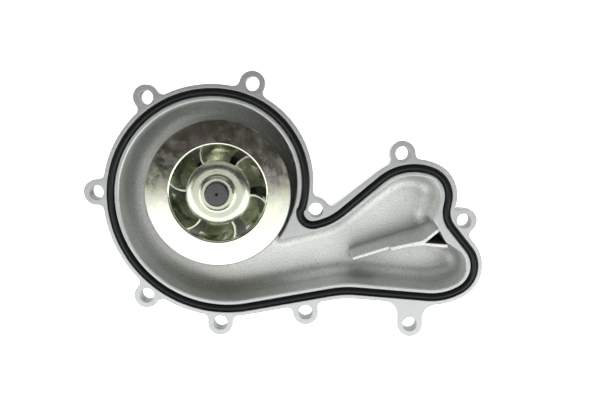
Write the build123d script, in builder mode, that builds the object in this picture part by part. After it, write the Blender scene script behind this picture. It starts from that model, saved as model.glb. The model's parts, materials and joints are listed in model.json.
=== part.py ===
from build123d import *
import os
from math import asin, atan2, cos, degrees, hypot, radians, sin

os.makedirs("parts", exist_ok=True)

# Automotive coolant pump with a scroll housing, lying with its engine face up.
# Origin: where the shaft axis meets the engine mounting face.
# +Z points along the shaft towards the engine, +X along the outlet duct. Millimetres.

# ---- driving dimensions: flange, groove and cavity -------------------------
flange_thickness = 9.0
seal_to_rim = 3.9  # seal path to the outer edge of the flange
seal_to_cavity = 4.0  # seal path to the edge of the cavity
nook_land = 3.2  # the same, beside the nook
duct_extra_land = 1.0  # the land outside the seal is wider along the duct
groove_width = 3.9
groove_depth = 2.6
bead_width = 2.8
bead_stand = 0.7  # how far the seal stands above the mounting face
ear_radius = 6.25
ear_hole_radius = 3.5
ear_fillet = 3.0
cramped_fillet = 1.0
cavity_depth = 22.0
cavity_draft = 0.9  # how much the cavity narrows on each side, top to floor
cavity_fillet = 7.0
mouth_bevel = 0.5  # cast edge along the mouth of the cavity
floor_thickness = 5.0
shell_overlap = 0.6  # the shell under the flange follows the seal path, this far outside
tongue_radius = 0.8

# ---- driving dimensions: shaft line ----------------------------------------
impeller_radius = 36.0
impeller_gap = 1.2  # shroud edge to the housing's tongue
eye_radius = 24.6
shroud_thickness = 1.5
blade_count = 6
shaft_end_radius = 6.0
shaft_radius = 7.96
shaft_top = 7.2
shaft_step = -40.0
shaft_bottom = -89.0
seal_bore_radius = 15.0
seal_bore_floor = -33.0
chamber_radius = 11.5
bearing_radius = 15.0
bearing_top = -42.0
bearing_bottom = -80.0
race_bore_radius = 13.0
pitch_radius = 10.6
ball_radius = 3.0
ball_row = -51.0
roller_radius = 2.58
roller_length = 10.0
roller_row = -70.0
ball_count = 9
roller_count = 10
running_gap = 0.05
hub_bottom = -92.0
hub_radius = 34.0
hub_thickness = 6.0
hub_boss_radius = 14.0
hub_bolt_circle = 52.0
hub_bolt_radius = 3.4
weep_height = -37.0

cavity_floor = -cavity_depth
shell_bottom = cavity_floor - floor_thickness

# ---- driving dimensions: small parts on the shaft line ------------------------
centre_drill_radius = 0.8
cage_radii = (9.6, 11.8)
ball_cage_half = 3.9
roller_cage_half = 6.6
pocket_gap = 0.1
bearing_seal_thickness = 1.6
front_seal_height = -44.6
rear_seal_height = -79.0
seal_sheet = 0.8
seal_inner_radius = 8.4
seal_lip_radius = 17.5
bellows_inner = 8.6
bellows_outer = 9.8
carbon_inner = 8.2
carbon_outer = 10.2
carbon_bottom = -21.0
carbon_top = -17.0
retainer_outer = 13.4
spring_wire = 1.1
spring_radius = 12.2
spring_turns = 3
seat_inner = 7.4
seat_outer = 11.4
seat_top = -13.6
slinger_radius = 10.4
collar_low = -0.6
collar_high = 5.0
collar_radius = 7.5
annulus_radius = 12.0
annulus_height = 1.8
impeller_sheet = 1.5
shoulder_radius = 5.0
collar_fillet = 2.0
blade_sheet = 1.2
first_blade_angle = 56.0
blade_radii = (15.5, 23.5, 29.0, 34.0)
blade_root_sweep = (-2.0, -30.0, -47.0, -60.0)
blade_tip_sweep = (0.0, -6.0, -24.0, -43.0)
slot_radii = (15.0, 19.5, 24.0, 27.0)
slot_near_sweep = (1.0, 0.0, -6.0, -10.0)  # the side under the blade's free edge
slot_far_sweep = (11.5, 12.5, 7.0, 3.5)
slot_round = 13.9  # radius that the slot's round inner end reaches
shroud_edge = 0.4
eye_roll = 0.9
eye_bottom = -2.0
hub_recess_radius = 12.0
hub_recess_depth = 3.0
hub_boss_top = -82.0
weep_slot_radius = 1.0
weep_cap_thickness = 1.2
flare_angle = 62.0
flare_length = 7.0
flare_toe_radius = 7.0
disc_radius = 34.5

# ---- the seal path: a chain of rounds joined by tangent lines ---------------
def carry_on(centre, radius, next_radius, angle):
    """Centre of an arc that carries on smoothly from the last one at this angle."""
    step = radius - next_radius
    return (centre[0] + step * cos(radians(angle)), centre[1] + step * sin(radians(angle)))


LEFT, RIGHT = 1, -1
scroll_radii = (44.0, 50.2, 57.0)
scroll_start = (-0.9, 5.0)
scroll_top = carry_on(scroll_start, scroll_radii[0], scroll_radii[1], 75)
scroll_end = carry_on(scroll_top, scroll_radii[1], scroll_radii[2], 180)
nook_radii = (30.0, 6.2)
nook_side = (42.0, 13.7)
nook_bottom = carry_on(nook_side, nook_radii[0], nook_radii[1], -79)
lower_radii = (28.3, 13.7)
lower_lobe = (105.8, -23.9)
lower_tip = carry_on(lower_lobe, lower_radii[0], lower_radii[1], -60)
upper_radii = (13.1, 25.2)
upper_tip = (100.3, -1.5)
upper_lobe = carry_on(upper_tip, upper_radii[0], upper_radii[1], 70)

# Each round is a centre, a radius and the way the path turns, going anticlockwise.
nook_rounds = [
    (nook_side, nook_radii[0], RIGHT),
    (nook_bottom, nook_radii[1], RIGHT),
]
scroll_rounds = [
    (scroll_start, scroll_radii[0], LEFT),
    (scroll_top, scroll_radii[1], LEFT),
    (scroll_end, scroll_radii[2], LEFT),
]
duct_rounds = [
    ((64.4, -100.3), 51.3, RIGHT),
    (lower_lobe, lower_radii[0], LEFT),
    (lower_tip, lower_radii[1], LEFT),
    ((124.8, -9.4), 12.4, RIGHT),
    (upper_tip, upper_radii[0], LEFT),
    (upper_lobe, upper_radii[1], LEFT),
]
# Inside, the nook is replaced by the tongue, which comes close to the impeller.
tongue_rounds = [
    (nook_side, nook_radii[0] + nook_land, RIGHT),
    ((30.6, -22.6), tongue_radius, RIGHT),
    ((0.0, 0.0), impeller_radius + impeller_gap, LEFT),
]
# Inside, the cleft between the two lobes is a broad land that carries the splitter's fork.
cleft_rounds = [
    ((114.8, -22.5), 3.0, RIGHT),
    ((108.1, -12.9), 1.8, RIGHT),
]


def grown(rounds, growth):
    """The same rounds after the whole path moves outwards by growth."""
    return [(centre, radius + turn * growth, turn) for centre, radius, turn in rounds]


seal_rounds = nook_rounds + scroll_rounds + duct_rounds
cavity_rounds = (
    tongue_rounds
    + grown(scroll_rounds + duct_rounds[:3], -seal_to_cavity)
    + cleft_rounds
    + grown(duct_rounds[4:], -seal_to_cavity)
)
rim_rounds = (
    grown(nook_rounds[:1], seal_to_rim + duct_extra_land)
    + grown(nook_rounds[1:] + scroll_rounds + duct_rounds[:-2], seal_to_rim)
    + grown(duct_rounds[-2:], seal_to_rim + duct_extra_land / 3)
)


def distance(a, b):
    return hypot(a[0] - b[0], a[1] - b[1])


def heading(first, second):
    """Direction of travel along the line that touches both rounds."""
    (x0, y0), radius0, turn0 = first
    (x1, y1), radius1, turn1 = second
    gap = hypot(x1 - x0, y1 - y0)
    lean = (turn0 * radius0 - turn1 * radius1) / gap
    return atan2(y1 - y0, x1 - x0) + asin(max(-1.0, min(1.0, lean)))


def on_round(item, direction):
    """Point of a round where the travel has this direction."""
    (x, y), radius, turn = item
    return (x + turn * radius * sin(direction), y - turn * radius * cos(direction))


def outline(rounds):
    """Face inside a closed chain of rounds and their tangent lines."""
    count = len(rounds)
    headings = [heading(rounds[i], rounds[(i + 1) % count]) for i in range(count)]
    here = on_round(rounds[0], headings[-1])
    with BuildSketch() as shape:
        with BuildLine():
            for i, item in enumerate(rounds):
                turn = item[2]
                sweep_angle = (headings[i] - headings[i - 1]) * turn % radians(360)
                middle = headings[i - 1] + turn * sweep_angle / 2
                end = on_round(item, headings[i])
                following = on_round(rounds[(i + 1) % count], headings[i])
                ThreePointArc(here, on_round(item, middle), end)
                here = end
                if distance(end, following) > 0.01:
                    Line(end, following)
                    here = following
        make_face()
    return shape.sketch


def block_between(lower_rounds, lower_height, upper_rounds, upper_height):
    """Drafted solid between two outlines that have the same rounds."""
    with BuildPart() as block:
        with BuildSketch(Plane.XY.offset(lower_height)):
            add(outline(lower_rounds))
        with BuildSketch(Plane.XY.offset(upper_height)):
            add(outline(upper_rounds))
        loft(ruled=True)
    return block.part


# ---- flange with its ten ears ------------------------------------------------
ears = [
    (-59.6, 0.4),
    (-34.4, 46.6),
    (17.2, 53.1),
    (48.1, -8.4),
    (90.5, 19.3),
    (121.2, -13.8),
    (95.2, -65.9),
    (43.1, -59.8),
    (0.5, -65.1),
    (-35.9, -51.2),
]
foot = ears[6]
foot_root = (95.2, -50.0)
foot_fillet = 7.0


with BuildPart() as flange:
    with BuildSketch(Plane.XY.offset(-flange_thickness)):
        add(outline(rim_rounds))
        with Locations(*ears):
            Circle(ear_radius)
        with Locations(((foot[0] + foot_root[0]) / 2, (foot[1] + foot_root[1]) / 2)):
            Rectangle(2 * ear_radius, distance(foot, foot_root))
    extrude(amount=flange_thickness)
    foot_corners = [
        edge
        for edge in flange.edges().filter_by(Axis.Z)
        if abs(abs(edge.center().X - foot[0]) - ear_radius) < 0.05 and edge.center().Y > foot[1] + 3
    ]
    fillet(foot_corners, foot_fillet)
    ear_corners = [
        edge
        for edge in flange.edges().filter_by(Axis.Z)
        if any(abs(distance(tuple(edge.center()), ear) - ear_radius) < 0.01 for ear in ears)
        and distance(tuple(edge.center()), foot) > ear_radius + 1
    ]
    cramped_corner = ShapeList(ear_corners).sort_by_distance((116.3, -9.9, -flange_thickness / 2))[0]
    fillet([edge for edge in ear_corners if edge != cramped_corner], ear_fillet)
    fillet(flange.edges().filter_by(Axis.Z).sort_by_distance(cramped_corner.center())[0], cramped_fillet)
    with Locations(*[(x, y, 0) for x, y in ears]):
        Hole(ear_hole_radius)


# ---- housing: one casting ----------------------------------------------------
# The hollow inside the scroll and duct, as a solid core.
with BuildPart() as cavity_core:
    add(block_between(grown(cavity_rounds, -cavity_draft), cavity_floor, cavity_rounds, 0))
    fillet(cavity_core.edges().group_by(Axis.Z)[0], cavity_fillet)
    add(block_between(cavity_rounds, -mouth_bevel, grown(cavity_rounds, mouth_bevel), 0))
    with BuildSketch(Plane.XY):
        add(outline(grown(cavity_rounds, mouth_bevel)))
    extrude(amount=2)

# The splitter rib divides the outlet between the two lobes and ends in a fork.
# It is drafted, and its free half is lower than the half that carries the fork.
rib_top = -1.5
rib_low_top = -4.0
rib_step = (85.4, -27.9)
rib_heading = 17.0
rib_top_outline = [
    (67.0, -33.9),
    (85.1, -28.2),
    (85.4, -29.1),
    (94.3, -27.0),
    (101.4, -26.3),
    (113.5, -27.6),
    (113.5, -25.9),
    (102.4, -25.0),
    (110.5, -18.3),
    (109.6, -17.2),
    (101.3, -23.7),
    (97.0, -24.7),
    (85.2, -27.2),
    (66.8, -33.0),
]
rib_foot_outline = [
    (66.6, -36.2),
    (84.6, -30.4),
    (85.2, -31.3),
    (94.4, -29.2),
    (101.4, -28.4),
    (113.5, -29.8),
    (113.5, -23.9),
    (107.5, -23.4),
    (112.0, -19.6),
    (112.0, -11.5),
    (105.4, -17.0),
    (99.4, -20.0),
    (85.5, -24.5),
    (65.6, -31.0),
]
with BuildPart() as splitter_rib:
    for height, corners in ((cavity_floor - 0.5, rib_foot_outline), (rib_top, rib_top_outline)):
        with BuildSketch(Plane.XY.offset(height)):
            with BuildLine():
                Polyline(*corners, close=True)
            make_face()
    loft(ruled=True)
    with BuildSketch(Plane((*rib_step, rib_low_top)).rotated((0, 0, rib_heading))):
        Rectangle(30, 10, align=(Align.MAX, Align.CENTER))
    extrude(amount=rib_top - rib_low_top, mode=Mode.SUBTRACT)

boss_base_radius = 23.0
boss_tip_radius = 19.5
boss_fillet = 4.0
back_rib_width = 4.0
back_rib_reach = 46.0
back_rib_angles = (30, 90, 150, 210, 330)
weep_pad_radius = 8.0
weep_pad_reach = 27.0
weep_pocket_radius = 5.0
weep_pocket_depth = 3.0
weep_hole_radius = 2.5
shell_fillet = 7.0
back_rib_toe = 2.0
back_rib_foot = -60.0
duct_rib_height = 3.0
duct_rib_rows = (-20.0, -32.0)
duct_rib_middle = 78.0
duct_rib_length = 44.0

# The outside of the scroll and duct under the flange. Its nook is wider than the
# seal's, so that a bolt head and socket reach the ear there.
shell_rounds = [((48.5, -4.0), 10.5, RIGHT)] + scroll_rounds + duct_rounds
with BuildPart() as shell:
    add(
        block_between(
            grown(shell_rounds, shell_overlap - cavity_draft),
            shell_bottom,
            grown(shell_rounds, shell_overlap),
            -flange_thickness / 2,
        )
    )
    fillet(shell.edges().group_by(Axis.Z)[0], shell_fillet)

with BuildPart() as housing:
    add(flange.part)
    add(shell.part)
    # Bearing boss, a cone that meets the floor of the scroll
    with BuildSketch(Plane.XY.offset(bearing_bottom)):
        Circle(boss_tip_radius)
    with BuildSketch(Plane.XY.offset(cavity_floor - 1)):
        Circle(boss_base_radius)
    loft()
    # Back ribs from the boss to the scroll
    for angle in back_rib_angles:
        with BuildSketch(Plane.XZ.rotated((0, 0, angle))) as rib_side:
            with BuildLine():
                Polyline(
                    (boss_tip_radius - 4, cavity_floor - 1),
                    (back_rib_reach, cavity_floor - 1),
                    (back_rib_reach, shell_bottom - back_rib_toe),
                    (boss_tip_radius, back_rib_foot),
                    (boss_tip_radius - 4, back_rib_foot),
                    close=True,
                )
            make_face()
        extrude(amount=back_rib_width / 2, both=True)
    # Long ribs that stiffen the back of the duct
    for offset_y in duct_rib_rows:
        with BuildSketch(Plane.XY.offset(shell_bottom - duct_rib_height)):
            with Locations((duct_rib_middle, offset_y)):
                SlotOverall(duct_rib_length, back_rib_width)
        extrude(amount=duct_rib_height + 2)
    # Pad around the weep hole, pointing down when the pump is on the engine
    with BuildSketch(Plane.XZ.offset(weep_pad_reach)):
        with Locations((0, weep_height)):
            Circle(weep_pad_radius)
    extrude(amount=-(weep_pad_reach - shaft_radius))
    add(cavity_core.part, mode=Mode.SUBTRACT)
    # The splitter rib stands on the floor and stays inside the cavity's own walls.
    add(splitter_rib.part & cavity_core.part)
    # Groove for the flange seal
    with BuildSketch():
        add(outline(grown(seal_rounds, groove_width / 2)))
        add(outline(grown(seal_rounds, -groove_width / 2)), mode=Mode.SUBTRACT)
    extrude(amount=-groove_depth, mode=Mode.SUBTRACT)
    # Stepped bore: mechanical seal, weep chamber and bearing
    for radius, low, high in (
        (seal_bore_radius, seal_bore_floor, cavity_floor + 1),
        (chamber_radius, bearing_top, seal_bore_floor),
        (bearing_radius, bearing_bottom - 1, bearing_top),
    ):
        with BuildSketch(Plane.XY.offset(low)):
            Circle(radius)
        extrude(amount=high - low, mode=Mode.SUBTRACT)
    # Weep passage with the pocket that its cap closes
    for radius, depth in ((weep_pocket_radius, weep_pocket_depth), (weep_hole_radius, weep_pad_reach)):
        with BuildSketch(Plane.XZ.offset(weep_pad_reach)):
            with Locations((0, weep_height)):
                Circle(radius)
        extrude(amount=-depth, mode=Mode.SUBTRACT)
housing.part.label = "housing"
export_step(housing.part, "parts/housing.step")

# ---- flange seal: a rubber bead in the groove ----------------------------------
seal_path = outline(seal_rounds).wire()
bead_plane = Plane(origin=seal_path @ 0, x_dir=(0, 0, 1), z_dir=seal_path % 0)
with BuildPart() as flange_seal:
    with BuildSketch(bead_plane):
        with Locations((bead_stand - bead_width / 2, 0)):
            Circle(bead_width / 2)
        with Locations(((bead_stand - bead_width / 2 - groove_depth) / 2, 0)):
            Rectangle(groove_depth + bead_stand - bead_width / 2, bead_width)
    sweep(path=seal_path)
flange_seal.part.label = "flange_seal"
export_step(flange_seal.part, "parts/flange_seal.step")


# ---- turned parts ----------------------------------------------------------------
def turned(label, *profile):
    """Solid of revolution about the shaft axis from (radius, height) corners."""
    with BuildPart() as piece:
        with BuildSketch(Plane.XZ):
            with BuildLine():
                Polyline(*profile, close=True)
            make_face()
        revolve(axis=Axis.Z)
    piece.part.label = label
    return piece.part


def ring(label, inner, outer, low, high):
    """Plain ring about the shaft axis."""
    return turned(label, (inner, low), (outer, low), (outer, high), (inner, high))


# ---- shaft with its ball groove ---------------------------------------------------
with BuildPart() as shaft:
    add(
        turned(
            "shaft",
            (0, shaft_bottom),
            (shaft_radius - 0.6, shaft_bottom),
            (shaft_radius, shaft_bottom + 0.6),
            (shaft_radius, shaft_step - 0.6),
            (shaft_radius - 0.6, shaft_step),
            (shaft_end_radius, shaft_step),
            (shaft_end_radius, shaft_top - 0.7),
            (shaft_end_radius - 0.7, shaft_top),
            (centre_drill_radius, shaft_top),
            (0, shaft_top - centre_drill_radius),
        )
    )
    with BuildSketch(Plane.XZ):
        with Locations((pitch_radius, ball_row)):
            Circle(ball_radius + running_gap)
    revolve(axis=Axis.Z, mode=Mode.SUBTRACT)
shaft.part.label = "shaft"
export_step(shaft.part, "parts/shaft.step")

# ---- bearing: one outer race with a ball row and a roller row ----------------------
track_half = roller_length / 2 + 0.2
with BuildPart() as bearing_outer_race:
    add(ring("race", race_bore_radius, bearing_radius, bearing_bottom, bearing_top))
    with BuildSketch(Plane.XZ):
        with Locations((pitch_radius, ball_row)):
            Circle(ball_radius + running_gap)
        with Locations((pitch_radius, roller_row)):
            Rectangle(2 * (roller_radius + running_gap), 2 * track_half)
    revolve(axis=Axis.Z, mode=Mode.SUBTRACT)
bearing_outer_race.part.label = "bearing_outer_race"
export_step(bearing_outer_race.part, "parts/bearing_outer_race.step")

with BuildPart() as bearing_balls:
    with Locations((0, 0, ball_row)):
        with PolarLocations(pitch_radius, ball_count):
            Sphere(ball_radius)
bearing_balls.part.label = "bearing_balls"
export_step(bearing_balls.part, "parts/bearing_balls.step")

with BuildPart() as ball_cage:
    add(ring("cage", *cage_radii, ball_row - ball_cage_half, ball_row + ball_cage_half))
    with Locations((0, 0, ball_row)):
        with PolarLocations(pitch_radius, ball_count):
            Cylinder(ball_radius + pocket_gap, 2 * (ball_radius + pocket_gap), mode=Mode.SUBTRACT)
ball_cage.part.label = "ball_cage"
export_step(ball_cage.part, "parts/ball_cage.step")

with BuildPart() as bearing_rollers:
    with Locations((0, 0, roller_row)):
        with PolarLocations(pitch_radius, roller_count):
            Cylinder(roller_radius, roller_length)
bearing_rollers.part.label = "bearing_rollers"
export_step(bearing_rollers.part, "parts/bearing_rollers.step")

with BuildPart() as roller_cage:
    add(ring("cage", *cage_radii, roller_row - roller_cage_half, roller_row + roller_cage_half))
    with Locations((0, 0, roller_row)):
        with PolarLocations(pitch_radius, roller_count):
            Cylinder(roller_radius + pocket_gap, roller_length + 2 * pocket_gap, mode=Mode.SUBTRACT)
roller_cage.part.label = "roller_cage"
export_step(roller_cage.part, "parts/roller_cage.step")

for label, height in (("bearing_seal_front", front_seal_height), ("bearing_seal_rear", rear_seal_height)):
    lip = ring(label, shaft_radius + running_gap, race_bore_radius, height, height + bearing_seal_thickness)
    export_step(lip, f"parts/{label}.step")

# ---- mechanical seal: still side -------------------------------------------------
seal_case = turned(
    "seal_case",
    (seal_inner_radius, seal_bore_floor),
    (seal_bore_radius, seal_bore_floor),
    (seal_bore_radius, cavity_floor),
    (seal_lip_radius, cavity_floor),
    (seal_lip_radius, cavity_floor + seal_sheet),
    (seal_bore_radius - seal_sheet, cavity_floor + seal_sheet),
    (seal_bore_radius - seal_sheet, seal_bore_floor + seal_sheet),
    (seal_inner_radius, seal_bore_floor + seal_sheet),
)
export_step(seal_case, "parts/seal_case.step")

case_floor = seal_bore_floor + seal_sheet
seal_bellows = turned(
    "seal_bellows",
    (bellows_inner, case_floor),
    (bellows_outer + 1.2, case_floor),
    (bellows_outer + 1.2, case_floor + 1.2),
    (bellows_outer, case_floor + 1.2),
    (bellows_outer, carbon_bottom - 2.0),
    (bellows_outer + 0.8, carbon_bottom - 2.0),
    (bellows_outer + 0.8, carbon_bottom),
    (bellows_inner, carbon_bottom),
)
export_step(seal_bellows, "parts/seal_bellows.step")

carbon_ring = turned(
    "carbon_ring",
    (carbon_inner, carbon_bottom),
    (carbon_outer + 0.6, carbon_bottom),
    (carbon_outer + 0.6, carbon_bottom + 1.6),
    (carbon_outer, carbon_bottom + 1.6),
    (carbon_outer, carbon_top),
    (carbon_inner, carbon_top),
)
export_step(carbon_ring, "parts/carbon_ring.step")

# Pressed ring that holds the bellows to the carbon ring and seats the spring
retainer_inner = carbon_outer + 0.6
spring_retainer = turned(
    "spring_retainer",
    (retainer_inner, carbon_bottom - 2.0),
    (retainer_outer, carbon_bottom - 2.0),
    (retainer_outer, carbon_bottom - 1.4),
    (retainer_inner + seal_sheet, carbon_bottom - 1.4),
    (retainer_inner + seal_sheet, carbon_bottom + 1.2),
    (retainer_inner, carbon_bottom + 1.2),
)
export_step(spring_retainer, "parts/spring_retainer.step")

spring_low = case_floor + spring_wire / 2
spring_height = carbon_bottom - 2.0 - spring_wire / 2 - spring_low
with BuildPart() as seal_spring:
    with BuildLine():
        coil = Helix(spring_height / spring_turns, spring_height, spring_radius, center=(0, 0, spring_low))
    with BuildSketch(Plane(origin=coil @ 0, z_dir=coil % 0)):
        Circle(spring_wire / 2)
    sweep(is_frenet=True)
seal_spring.part.label = "seal_spring"
export_step(seal_spring.part, "parts/seal_spring.step")

# ---- mechanical seal: turning side ---------------------------------------------
seat_ring = ring("seat_ring", seat_inner, seat_outer, carbon_top + running_gap, seat_top)
export_step(seat_ring, "parts/seat_ring.step")

seat_cup = turned(
    "seat_cup",
    (shaft_end_radius, carbon_top + 0.6),
    (seat_inner, carbon_top + 0.6),
    (seat_inner, seat_top),
    (seat_outer, seat_top),
    (seat_outer, seat_top - 2.0),
    (seat_outer + 1.0, seat_top - 2.0),
    (seat_outer + 1.0, seat_top + 1.2),
    (shaft_end_radius, seat_top + 1.2),
)
export_step(seat_cup, "parts/seat_cup.step")

slinger = turned(
    "slinger",
    (shaft_end_radius, weep_height - 1.6),
    (shaft_end_radius + 1.6, weep_height - 1.6),
    (slinger_radius, weep_height + 0.4),
    (slinger_radius, weep_height + 1.4),
    (shaft_end_radius, weep_height + 1.4),
)
export_step(slinger, "parts/slinger.step")

# ---- impeller shroud and the stamped impeller under it ------------------------------
# Shroud: a flat ring welded to the blades, its eye rolled down into a bell mouth
with BuildPart() as impeller_shroud:
    with BuildSketch(Plane.XZ):
        with BuildLine():
            Line((eye_radius, 0), (impeller_radius - shroud_edge, 0))
            Line((impeller_radius - shroud_edge, 0), (impeller_radius, shroud_edge))
            Line((impeller_radius, shroud_edge), (impeller_radius, shroud_thickness - shroud_edge))
            Line((impeller_radius, shroud_thickness - shroud_edge), (impeller_radius - shroud_edge, shroud_thickness))
            Line((impeller_radius - shroud_edge, shroud_thickness), (eye_radius, shroud_thickness))
            ThreePointArc(
                (eye_radius, shroud_thickness),
                (eye_radius - eye_roll * 0.71, shroud_thickness - eye_roll * 0.29),
                (eye_radius - eye_roll, shroud_thickness - eye_roll),
            )
            Line((eye_radius - eye_roll, shroud_thickness - eye_roll), (eye_radius - eye_roll, eye_bottom))
            Line((eye_radius - eye_roll, eye_bottom), (eye_radius, eye_bottom))
            Line((eye_radius, eye_bottom), (eye_radius, 0))
        make_face()
    revolve(axis=Axis.Z)
impeller_shroud.part.label = "impeller_shroud"
export_step(impeller_shroud.part, "parts/impeller_shroud.step")

def polar(radius, angle):
    """Point at this radius and angle about the shaft axis."""
    return Vector(radius, 0, 0).rotate(Axis.Z, angle)


def blade_strip(radii, angles):
    """Thin curved strip, seen along the axis, through these polar points."""
    points = [polar(radius, angle) for radius, angle in zip(radii, angles)]
    last = len(points) - 1
    tangents = [points[min(i + 1, last)] - points[max(i - 1, 0)] for i in range(len(points))]
    normals = [tangent.cross(Vector(0, 0, 1)).normalized() * (blade_sheet / 2) for tangent in tangents]
    left = [point + normal for point, normal in zip(points, normals)]
    right = [point - normal for point, normal in zip(points, normals)]
    with BuildSketch() as strip:
        with BuildLine():
            Spline(*left)
            Line(left[-1], right[-1])
            Spline(*reversed(right))
            Line(right[0], left[0])
        make_face()
    return strip.sketch


with BuildPart() as impeller:
    with BuildSketch(Plane.XZ):
        with BuildLine():
            top_side = Polyline(
                (shaft_end_radius, collar_low),
                (shaft_end_radius, collar_high),
                (collar_radius, collar_high),
                (collar_radius, annulus_height),
                (annulus_radius, annulus_height),
            )
            drop = JernArc(top_side @ 1, (1, 0), shoulder_radius, -flare_angle)
            flare = PolarLine(drop @ 1, flare_length, -flare_angle)
            toe = JernArc(flare @ 1, flare % 1, flare_toe_radius, flare_angle)
            disc_top = (toe @ 1).Y
            Line(toe @ 1, (disc_radius, disc_top))
            Line((disc_radius, disc_top), (disc_radius, disc_top - impeller_sheet))
            under = Line((disc_radius, disc_top - impeller_sheet), ((toe @ 1).X, disc_top - impeller_sheet))
            under_toe = JernArc(under @ 1, (-1, 0), flare_toe_radius + impeller_sheet, -flare_angle)
            under_flare = PolarLine(under_toe @ 1, flare_length, 180 - flare_angle)
            under_drop = JernArc(under_flare @ 1, under_flare % 1, shoulder_radius - impeller_sheet, flare_angle)
            Polyline(under_drop @ 1, (collar_radius, (under_drop @ 1).Y), top_side @ 0)
        make_face()
    revolve(axis=Axis.Z)
    # The hat flows into the drawn collar that grips the shaft
    collar_foot = impeller.edges().filter_by(GeomType.CIRCLE).sort_by_distance((collar_radius, 0, annulus_height))[0]
    fillet(collar_foot, collar_fillet)
    # Blades lean over from root to tip, as petals lanced out of the disc do
    blade_angles = [first_blade_angle + 360 / blade_count * i for i in range(blade_count)]
    for angle in blade_angles:
        with BuildSketch(Plane.XY.offset(disc_top - impeller_sheet / 2).rotated((0, 0, angle))):
            add(blade_strip(blade_radii, blade_root_sweep))
        with BuildSketch(Plane.XY.rotated((0, 0, angle))):
            add(blade_strip(blade_radii, blade_tip_sweep))
        loft(ruled=True)
    # Slots that the lancing leaves, widest at the edge of the eye
    near_side = [polar(radius, sweep_angle) for radius, sweep_angle in zip(slot_radii, slot_near_sweep)]
    far_side = [polar(radius, sweep_angle) for radius, sweep_angle in zip(slot_radii, slot_far_sweep)]
    inner_end = polar(slot_round, (slot_near_sweep[0] + slot_far_sweep[0]) / 2)
    for angle in blade_angles:
        with BuildSketch(Plane.XY.offset(disc_top - 2 * impeller_sheet).rotated((0, 0, angle))):
            with BuildLine():
                Spline(*near_side)
                Line(near_side[-1], far_side[-1])
                Spline(*reversed(far_side))
                ThreePointArc(far_side[0], inner_end, near_side[0])
            make_face()
        extrude(amount=2 * impeller_sheet - disc_top, mode=Mode.SUBTRACT)
    # The blades are notched where the eye of the shroud rolls down between them
    add(impeller_shroud.part, mode=Mode.SUBTRACT)
impeller.part.label = "impeller"
export_step(impeller.part, "parts/impeller.step")

# ---- pulley hub, pressed on the other end of the shaft ------------------------------
with BuildPart() as pulley_hub:
    add(
        turned(
            "hub",
            (shaft_radius, hub_bottom + hub_recess_depth),
            (hub_recess_radius, hub_bottom + hub_recess_depth),
            (hub_recess_radius, hub_bottom),
            (hub_radius - 1, hub_bottom),
            (hub_radius, hub_bottom + 1),
            (hub_radius, hub_bottom + hub_thickness - 0.6),
            (hub_radius - 0.6, hub_bottom + hub_thickness),
            (hub_boss_radius + 3, hub_bottom + hub_thickness),
            (hub_boss_radius, hub_bottom + hub_thickness + 2),
            (hub_boss_radius - 0.5, hub_boss_top),
            (shaft_radius, hub_boss_top),
        )
    )
    with Locations((0, 0, hub_bottom + hub_thickness)):
        with PolarLocations(hub_bolt_circle / 2, 4, start_angle=45):
            Hole(hub_bolt_radius)
pulley_hub.part.label = "pulley_hub"
export_step(pulley_hub.part, "parts/pulley_hub.step")

# ---- cap in the weep pocket -----------------------------------------------------------
with BuildPart() as weep_cap:
    with BuildSketch(Plane.XZ.offset(weep_pad_reach - weep_pocket_depth)):
        with Locations((0, weep_height)):
            Circle(weep_pocket_radius)
            Circle(weep_slot_radius, mode=Mode.SUBTRACT)
    extrude(amount=weep_cap_thickness)
weep_cap.part.label = "weep_cap"
export_step(weep_cap.part, "parts/weep_cap.step")
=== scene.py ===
import json
import math

import bpy
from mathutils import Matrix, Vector


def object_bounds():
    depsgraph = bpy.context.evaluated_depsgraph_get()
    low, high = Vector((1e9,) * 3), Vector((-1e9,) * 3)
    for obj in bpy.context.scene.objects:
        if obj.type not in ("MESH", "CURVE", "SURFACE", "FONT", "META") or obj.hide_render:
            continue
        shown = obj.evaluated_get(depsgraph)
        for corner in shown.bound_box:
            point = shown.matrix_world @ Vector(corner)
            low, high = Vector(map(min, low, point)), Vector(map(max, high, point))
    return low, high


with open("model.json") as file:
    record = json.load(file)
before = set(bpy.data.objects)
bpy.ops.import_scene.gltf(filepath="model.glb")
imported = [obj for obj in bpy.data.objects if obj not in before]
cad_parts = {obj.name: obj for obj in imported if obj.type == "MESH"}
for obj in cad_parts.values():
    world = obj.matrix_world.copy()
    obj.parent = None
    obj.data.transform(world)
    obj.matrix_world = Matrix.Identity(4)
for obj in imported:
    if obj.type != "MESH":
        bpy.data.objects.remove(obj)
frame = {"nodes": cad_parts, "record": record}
cad_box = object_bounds()

# ---- camera: nearly overhead, leaning a little towards the bottom of the part --
CAMERA_PLACE = (0.0403, 0.0439, 0.400)
CAMERA_LEAN = math.radians(-6.75)
CAMERA_LENS = 49.2
SENSOR_WIDTH = 36.0
NEAREST = 0.01


def add_camera():
    data = bpy.data.cameras.new("camera")
    data.lens = CAMERA_LENS
    data.sensor_width = SENSOR_WIDTH
    data.clip_start = NEAREST
    camera = bpy.data.objects.new("camera", data)
    camera.location = CAMERA_PLACE
    camera.rotation_euler = (CAMERA_LEAN, 0, 0)
    bpy.context.scene.collection.objects.link(camera)
    bpy.context.scene.camera = camera


# ---- light: four soft panels, a dim warm world and a glowing white floor --------
MIDDLE_X = 0.03  # close to the part's middle along X
WORLD_COLOUR = (0.105, 0.085, 0.085, 1)
WORLD_STRENGTH = 0.42
FLOOR_SIZE = 6
FLOOR_COLOUR = (0.9, 0.9, 0.9, 1)
FLOOR_ROUGHNESS = 0.9
FLOOR_GLOW = 1.0


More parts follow.
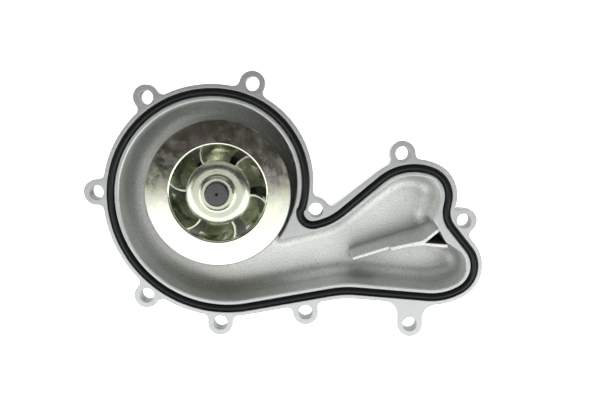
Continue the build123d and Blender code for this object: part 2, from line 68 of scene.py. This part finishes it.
def add_panel(name, place, target, size, power):
    """A rectangular soft light that faces its target."""
    data = bpy.data.lights.new(name, "AREA")
    data.shape = "RECTANGLE"
    data.size, data.size_y = size
    data.energy = power
    light = bpy.data.objects.new(name, data)
    light.location = place
    aim = Vector(target) - Vector(place)
    light.rotation_euler = aim.to_track_quat("-Z", "Y").to_euler()
    bpy.context.scene.collection.objects.link(light)


def add_lights():
    # The near edge of the front panel sets where the flat steel turns from dark to bright
    add_panel("panel_front", (MIDDLE_X, -0.50, 0.60), (MIDDLE_X, -0.50, 0.0), (1.3, 0.86), 6.4)
    add_panel("panel_left", (-0.70, -0.25, 0.45), (0.0, 0.0, 0.0), (0.7, 0.7), 3.0)
    add_panel("panel_right", (0.72, -0.40, 0.45), (MIDDLE_X, 0.0, 0.0), (0.7, 0.7), 4.0)
    add_panel("panel_back", (MIDDLE_X, 0.85, 0.40), (MIDDLE_X, 0.0, 0.0), (1.2, 0.7), 1.2)
    world = bpy.data.worlds.new("studio")
    world.use_nodes = True
    background = world.node_tree.nodes["Background"]
    background.inputs["Color"].default_value = WORLD_COLOUR
    background.inputs["Strength"].default_value = WORLD_STRENGTH
    scene = bpy.context.scene
    scene.world = world
    scene.view_settings.view_transform = "Standard"
    scene.view_settings.look = "None"
    scene.view_settings.exposure = 0.0


def add_floor():
    low = cad_box[0][2]
    bpy.ops.mesh.primitive_plane_add(size=FLOOR_SIZE, location=(MIDDLE_X, 0, low))
    floor = bpy.context.object
    floor.name = "floor"
    material = bpy.data.materials.new("floor_white")
    material.use_nodes = True
    shader = material.node_tree.nodes["Principled BSDF"]
    shader.inputs["Base Color"].default_value = FLOOR_COLOUR
    shader.inputs["Roughness"].default_value = FLOOR_ROUGHNESS
    shader.inputs["Emission Color"].default_value = (1, 1, 1, 1)
    shader.inputs["Emission Strength"].default_value = FLOOR_GLOW
    floor.data.materials.append(material)


add_camera()
add_lights()
add_floor()


# ---- materials ------------------------------------------------------------------
class Nodes:
    """Short hand for building one material's node tree."""

    def __init__(self, name):
        self.material = bpy.data.materials.new(name)
        self.material.use_nodes = True
        self.tree = self.material.node_tree
        self.shader = self.tree.nodes["Principled BSDF"]
        self.place = self.add("ShaderNodeTexCoord").outputs["Object"]

    def add(self, kind, inputs=None, **settings):
        node = self.tree.nodes.new(kind)
        for key, value in settings.items():
            setattr(node, key, value)
        for key, value in (inputs or {}).items():
            self.feed(node.inputs[key], value)
        return node

    def feed(self, socket, value):
        if isinstance(value, bpy.types.NodeSocket):
            self.tree.links.new(value, socket)
        else:
            socket.default_value = value

    def set(self, **inputs):
        for key, value in inputs.items():
            self.feed(self.shader.inputs[key.replace("_", " ")], value)

    def noise(self, scale, detail=4.0, stretch=None, roughness=0.55):
        place = self.place
        if stretch:
            place = self.add("ShaderNodeMapping", {"Vector": place, "Scale": stretch}).outputs[0]
        node = self.add(
            "ShaderNodeTexNoise", {"Vector": place, "Scale": scale, "Detail": detail, "Roughness": roughness}
        )
        return node.outputs["Fac"]

    def ramp(self, value, stops):
        """Colour ramp with (position, grey or colour) stops."""
        node = self.add("ShaderNodeValToRGB", {"Fac": value})
        elements = node.color_ramp.elements
        while len(elements) < len(stops):
            elements.new(0.5)
        for element, (position, colour) in zip(elements, stops):
            element.position = position
            element.color = (colour,) * 3 + (1,) if isinstance(colour, float) else (*colour, 1)
        return node.outputs["Color"]

    def mix(self, amount, a, b, blend_type="MIX"):
        node = self.add("ShaderNodeMix", {"Factor": amount}, data_type="RGBA", blend_type=blend_type)
        for socket, value in ((node.inputs[6], a), (node.inputs[7], b)):
            if isinstance(value, float):
                value = (value,) * 3 + (1,)
            elif isinstance(value, tuple):
                value = (*value, 1)
            self.feed(socket, value)
        return node.outputs[2]

    def math(self, operation, a, b=0.0, clamp=False):
        node = self.add("ShaderNodeMath", {0: a, 1: b}, operation=operation, use_clamp=clamp)
        return node.outputs[0]

    def bump(self, height, distance, strength=1.0, normal=None):
        inputs = {"Height": height, "Distance": distance, "Strength": strength}
        if normal:
            inputs["Normal"] = normal
        return self.add("ShaderNodeBump", inputs).outputs[0]


FACE_TOLERANCE = 0.00005  # how far below the mounting face still counts as machined
FACING_UP = 0.95
# How far the painted corner shade reaches into the casting
PAINTED_SHADE_REACH = 0.014
SOFT_EDGE = 0.0006


def cast_aluminium():
    n = Nodes("cast_aluminium")
    grain = n.noise(1500, 4, roughness=0.7)
    mottle = n.noise(60, 4)
    pits = n.noise(420, 3)
    colour = n.mix(n.ramp(mottle, ((0.35, 0.0), (0.65, 1.0))), (0.80, 0.825, 0.795), (0.88, 0.90, 0.87))
    colour = n.mix(n.ramp(grain, ((0.38, 0.0), (0.60, 1.0))), n.mix(0.45, colour, (0.30, 0.31, 0.29)), colour)
    specks = n.ramp(n.noise(900, 2), ((0.27, 1.0), (0.33, 0.0)))
    colour = n.mix(n.math("MULTIPLY", specks, 0.6), colour, (0.16, 0.165, 0.155))
    # Painted shade: the colour is darkened in the corners and recesses of the casting, where the walls hide
    # the open sky
    corner_shade_ao = n.add("ShaderNodeAmbientOcclusion", {"Distance": PAINTED_SHADE_REACH}, samples=8).outputs["AO"]
    colour = n.mix(1.0, colour, n.ramp(corner_shade_ao, ((0.30, 0.34), (0.85, 1.0))), "MULTIPLY")
    # The machined face is finer and more even than the cast skin
    height = n.add("ShaderNodeSeparateXYZ", {"Vector": n.place}).outputs["Z"]
    normal = n.add("ShaderNodeNewGeometry").outputs["Normal"]
    upward = n.add("ShaderNodeSeparateXYZ", {"Vector": normal}).outputs["Z"]
    on_face = n.math("GREATER_THAN", height, -FACE_TOLERANCE)
    machined = n.math("MULTIPLY", on_face, n.math("GREATER_THAN", upward, FACING_UP))
    tooling = n.ramp(n.noise(2600, 3), ((0.35, 0.0), (0.65, 1.0)))
    fine = n.mix(tooling, (0.42, 0.44, 0.435), (0.53, 0.555, 0.55))
    soft_edge = n.add("ShaderNodeBevel", {"Radius": SOFT_EDGE}, samples=6).outputs["Normal"]
    n.set(
        Base_Color=n.mix(machined, colour, fine),
        Metallic=n.ramp(machined, ((0.0, 0.60), (1.0, 0.92))),
        Roughness=n.ramp(machined, ((0.0, 0.48), (1.0, 0.44))),
        Normal=n.bump(grain, 0.00012, 0.5, n.bump(pits, 0.0003, 0.25, soft_edge)),
    )
    return n.material


def rubber():
    n = Nodes("black_rubber")
    n.set(
        Base_Color=n.mix(n.noise(900, 3), (0.004, 0.0045, 0.005), (0.011, 0.012, 0.013)),
        Roughness=n.ramp(n.noise(2000, 2), ((0.3, 0.30), (0.7, 0.40))),
        Specular_IOR_Level=0.26,
        Normal=n.bump(n.noise(1500, 2), 0.00003, 0.3),
    )
    return n.material


def passivated_steel(name, roughness, stops):
    """Zinc plating with a yellow-green passivate, clouded and finely scratched."""
    n = Nodes(name)
    tint = n.noise(38, 3, roughness=0.5)
    scratches = n.noise(900, 2, stretch=(1.0, 0.04, 1.0))
    cross_scratches = n.noise(1100, 2, stretch=(0.05, 1.0, 1.0))
    marks = n.math("MULTIPLY", n.ramp(scratches, ((0.62, 0.0), (0.70, 1.0))), 0.5)
    cross_marks = n.math("MULTIPLY", n.ramp(cross_scratches, ((0.64, 0.0), (0.72, 1.0))), 0.5)
    wear = n.math("ADD", marks, cross_marks, clamp=True)
    cloud = n.ramp(n.noise(260, 4), ((0.3, roughness), (0.7, roughness + 0.09)))
    n.set(
        Base_Color=n.mix(n.math("MULTIPLY", wear, 0.25), n.ramp(tint, stops), (0.78, 0.78, 0.80)),
        Metallic=1.0,
        Roughness=n.math("ADD", cloud, n.math("MULTIPLY", wear, 0.04)),
        Normal=n.bump(n.noise(2500, 3), 0.00002, 0.4),
    )
    return n.material


def plain_metal(name, colour, roughness, grain=2500):
    n = Nodes(name)
    darker = tuple(0.8 * c for c in colour)
    n.set(
        Base_Color=n.mix(n.noise(200, 4), darker, colour),
        Metallic=1.0,
        Roughness=n.ramp(n.noise(600, 3), ((0.3, roughness - 0.06), (0.7, roughness + 0.06))),
        Normal=n.bump(n.noise(grain, 3), 0.00003, 0.5),
    )
    return n.material


def plain_plastic(name, colour, roughness):
    n = Nodes(name)
    darker = tuple(0.8 * c for c in colour)
    n.set(
        Base_Color=n.mix(n.noise(300, 3), darker, colour),
        Roughness=n.ramp(n.noise(900, 3), ((0.3, roughness - 0.05), (0.7, roughness + 0.05))),
        Normal=n.bump(n.noise(1800, 3), 0.00004, 0.4),
    )
    return n.material


# Stops of the clouded tints, each a noise value and a colour
SHROUD_TINTS = (
    (0.30, (0.66, 0.60, 0.63)),
    (0.45, (0.74, 0.74, 0.64)),
    (0.58, (0.68, 0.72, 0.56)),
    (0.75, (0.60, 0.65, 0.62)),
)
IMPELLER_TINTS = (
    (0.30, (0.60, 0.60, 0.50)),
    (0.45, (0.68, 0.72, 0.58)),
    (0.58, (0.60, 0.66, 0.52)),
    (0.75, (0.56, 0.60, 0.55)),
)
finishes = {
    "cast_aluminium": cast_aluminium(),
    "seal_rubber": rubber(),
    "passivated_steel": passivated_steel("passivated_steel", 0.09, SHROUD_TINTS),
    "shaft_steel": plain_metal("shaft_steel", (0.13, 0.13, 0.135), 0.30),
    "bearing_steel": plain_metal("bearing_steel", (0.60, 0.60, 0.62), 0.18),
    "hub_steel": plain_metal("hub_steel", (0.32, 0.32, 0.33), 0.38),
    "stainless_sheet": plain_metal("stainless_sheet", (0.55, 0.55, 0.54), 0.24),
    "carbon": plain_plastic("carbon", (0.03, 0.03, 0.033), 0.45),
    "ceramic": plain_plastic("ceramic", (0.78, 0.76, 0.70), 0.22),
    "cage_nylon": plain_plastic("cage_nylon", (0.62, 0.55, 0.36), 0.45),
    "cap_plastic": plain_plastic("cap_plastic", (0.02, 0.02, 0.022), 0.40),
}
pressed_steel = passivated_steel("pressed_steel", 0.24, IMPELLER_TINTS)
for part in frame["record"]["subparts"]:
    node = frame["nodes"][part["node"]]
    finish = pressed_steel if part["node"] == "impeller" else finishes[part["material_slot"]]
    node.data.materials.clear()
    node.data.materials.append(finish)
